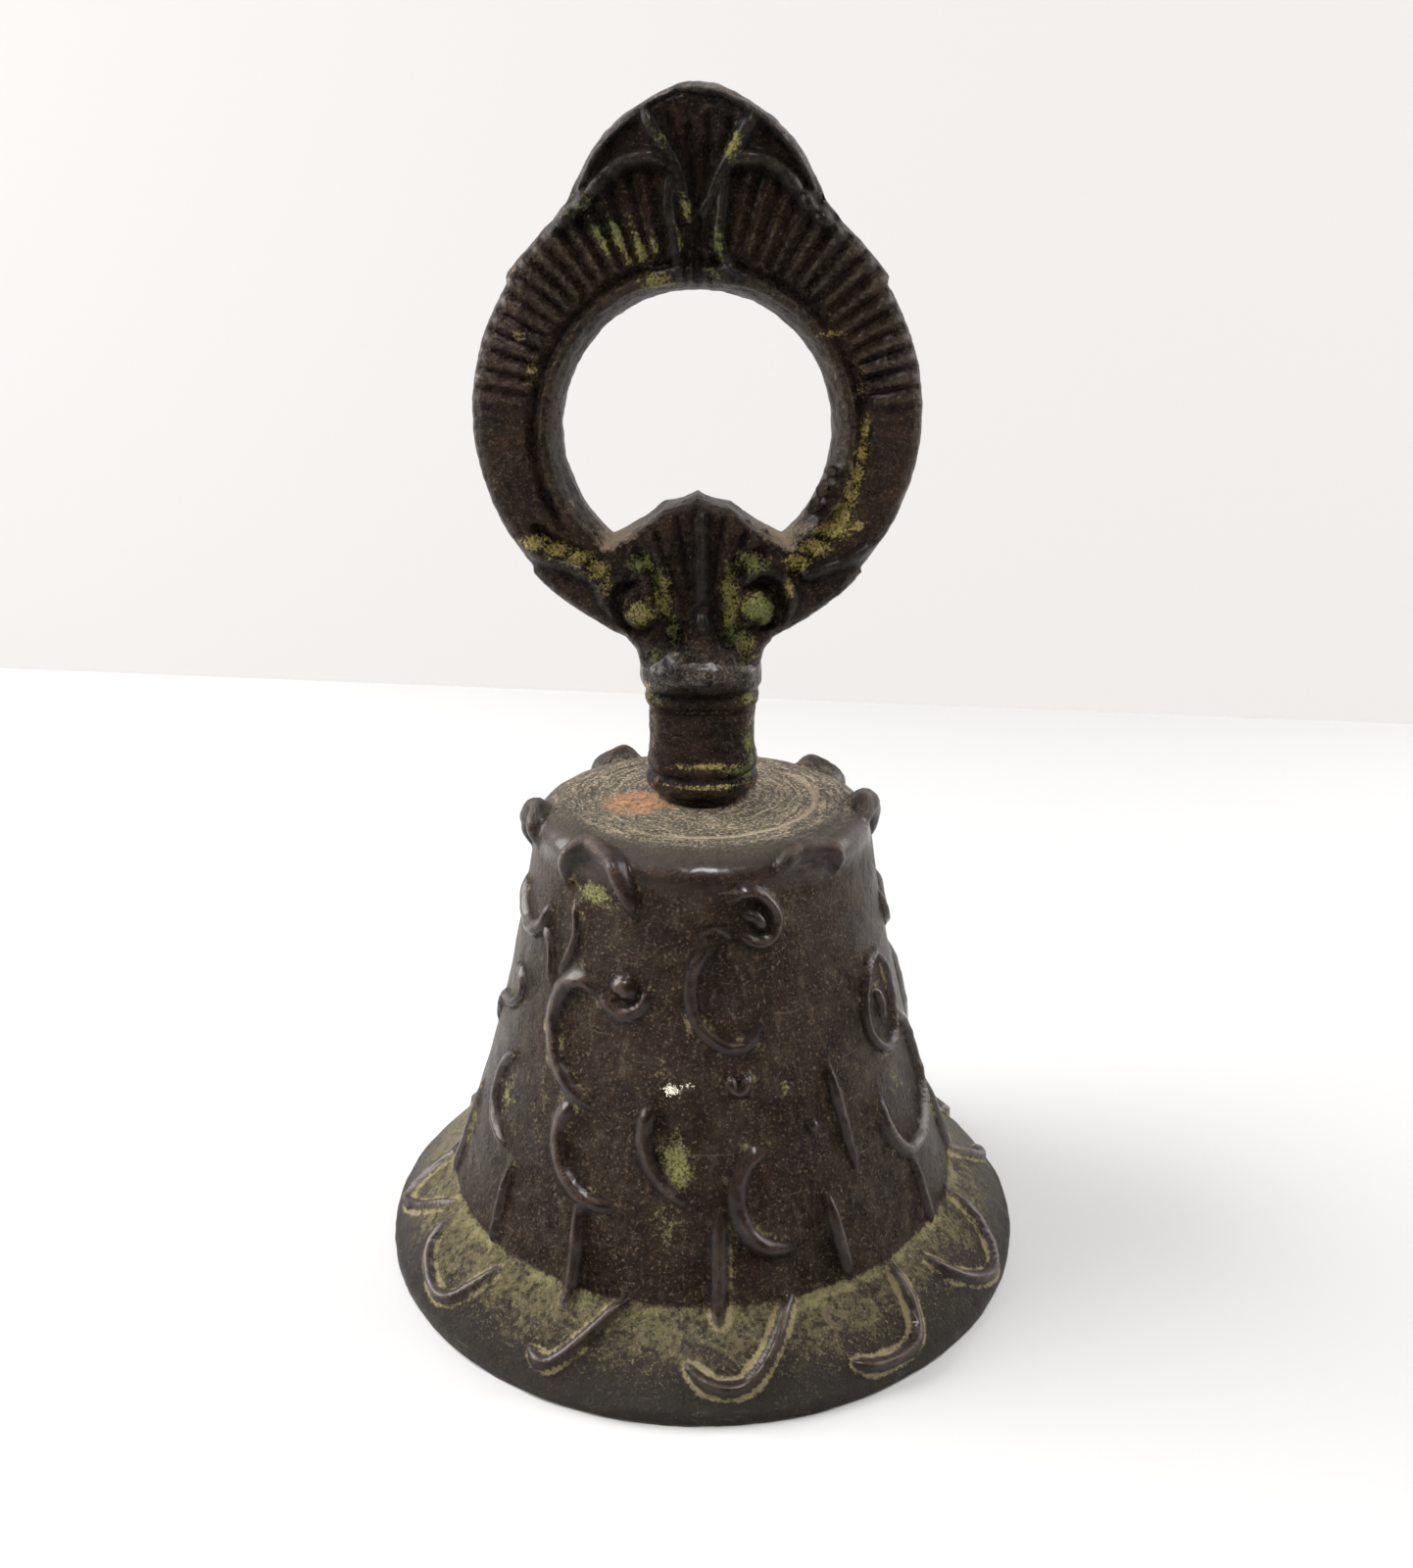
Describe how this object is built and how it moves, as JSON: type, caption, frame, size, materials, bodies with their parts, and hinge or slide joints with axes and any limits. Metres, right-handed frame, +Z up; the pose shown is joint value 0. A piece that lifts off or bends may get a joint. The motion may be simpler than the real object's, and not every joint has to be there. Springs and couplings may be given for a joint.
{
  "type": "hand bell",
  "caption": "Flared brass hand bell with laid-on scroll relief, a cast finger-ring handle with a fan crest, and a ball clapper on a wire link.",
  "frame": {"origin": "centre of the mouth, on the plane that the rim rests on", "axes": "+Z up the bell's axis to the crest of the handle, +X to the right across the ring handle's flat face, -Y towards the front"},
  "size_m": [0.067, 0.067, 0.1132],
  "materials": {
    "old_brass_body": "dark brown patina with green deposits in the recesses and a dull sheen",
    "old_brass_handle": "near-black patina with copper-coloured worn edges",
    "rusted_iron": "rusted",
    "iron_wire": "dark, rubbed where the loops meet",
    "worn_brass_ball": "dull with a worn belt where it strikes"
  },
  "bodies": {
    "bell": {"bell_body": "old_brass_body", "handle": "old_brass_handle", "eye_bolt": "rusted_iron", "clamp_washer": "rusted_iron", "clamp_nut": "rusted_iron"},
    "link": {"clapper_link": "iron_wire"},
    "clapper": {"clapper_rod": "iron_wire", "clapper_ball": "worn_brass_ball"}
  },
  "joints": [
    {"name": "link_swing", "type": "hinge", "parent": "bell", "child": "link", "pos_m": [0, 0, 0.0328], "axis": [1, 0, 0], "range_deg": [-9, 9]},
    {"name": "clapper_swing", "type": "hinge", "parent": "link", "child": "clapper", "pos_m": [0, 0, 0.0278], "axis": [0, 1, 0], "range_deg": [-46.5, 46.5]}
  ]
}
